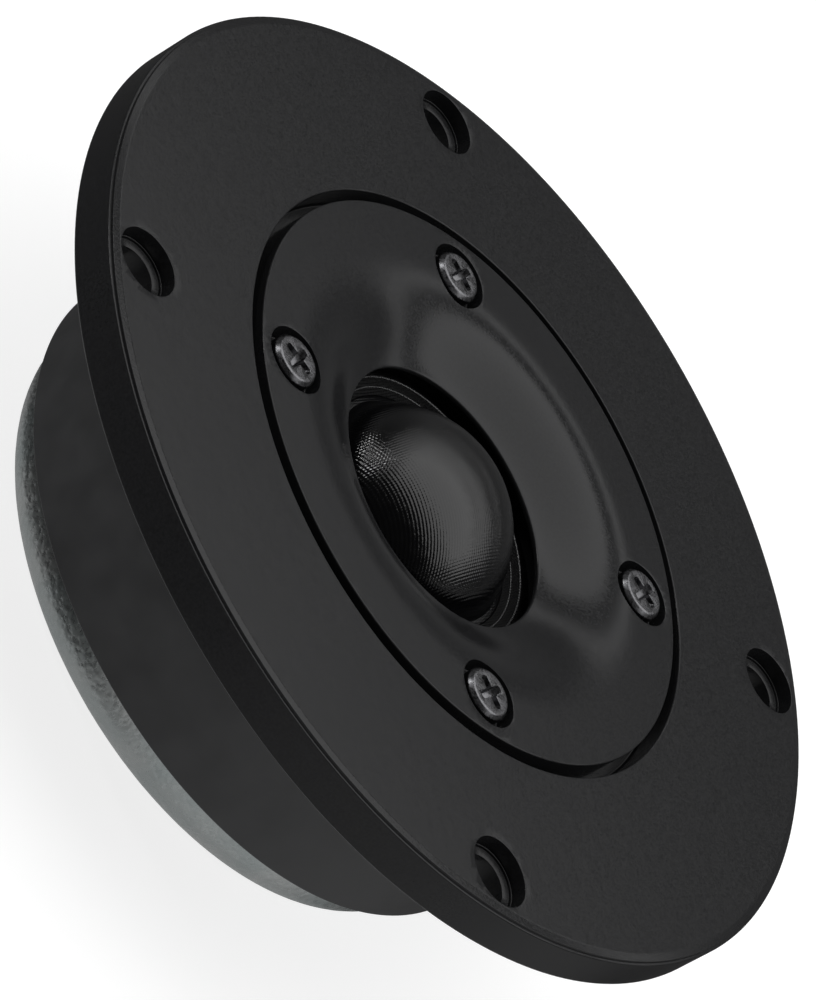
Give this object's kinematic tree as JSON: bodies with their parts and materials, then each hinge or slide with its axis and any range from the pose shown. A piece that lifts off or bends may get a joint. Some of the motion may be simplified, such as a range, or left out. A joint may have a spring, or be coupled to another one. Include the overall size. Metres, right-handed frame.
{
  "type": "car tweeter",
  "caption": "Soft-dome car tweeter: round flange with a flared horn insert, textile dome, ring-magnet motor with a rounded zinc back plate, and solder lugs behind the flange.",
  "frame": {"origin": "centre of the back plate's flat rear face, which the tweeter stands on", "axes": "+Z along the speaker's axis out through the dome, +Y towards the terminals, mounting holes on the diagonals of X and Y"},
  "size_m": [0.104, 0.104, 0.0338],
  "materials": {
    "flange_black": "matte black, fine moulded grain",
    "insert_black": "matte black, fine moulded grain",
    "screw_black": "black-plated steel, glossy",
    "dome_cloth": "black coated textile, fine diagonal weave, soft shine",
    "surround_cloth": "black coated textile, uncoated weave on the roll",
    "carrier_plastic": "black moulded ring",
    "former_aluminium": "thin bright foil",
    "winding_copper": "enamelled copper wire",
    "plate_steel": "plain steel",
    "ferrite": "dark grey sintered ferrite",
    "sleeve_black": "satin black sleeve",
    "zinc_steel": "bright zinc plating, lightly hammered, faint blue-green tint",
    "felt": "dark grey felt",
    "board_brown": "brown laminated paper board",
    "tab_tinned": "tin-plated brass",
    "rivet_brass": "plain brass",
    "lead_insulation": "black silicone-sleeved lead"
  },
  "bodies": {
    "frame": {"flange": "flange_black", "waveguide_insert": "insert_black", "insert_screw_1": "screw_black", "insert_screw_2": "screw_black", "insert_screw_3": "screw_black", "insert_screw_4": "screw_black", "surround": "surround_cloth", "carrier_ring": "carrier_plastic", "pole_damper": "felt", "pole_yoke": "zinc_steel", "ferrite_magnet": "ferrite", "top_plate": "plate_steel", "magnet_sleeve": "sleeve_black", "terminal_board": "board_brown", "terminal_board_screw": "screw_black", "terminal_positive": "tab_tinned", "terminal_negative": "tab_tinned", "terminal_rivet_positive": "rivet_brass", "terminal_rivet_negative": "rivet_brass", "lead_positive": "lead_insulation", "lead_negative": "lead_insulation"},
    "diaphragm": {"dome": "dome_cloth", "voice_coil_former": "former_aluminium", "voice_coil_winding": "winding_copper"}
  },
  "joints": [
    {"name": "dome_excursion", "type": "slide", "parent": "frame", "child": "diaphragm", "axis": [0, 0, 1], "range_m": [-0.0005, 0.0005], "stiffness_N_per_m": 500, "deforming": ["surround"]}
  ]
}
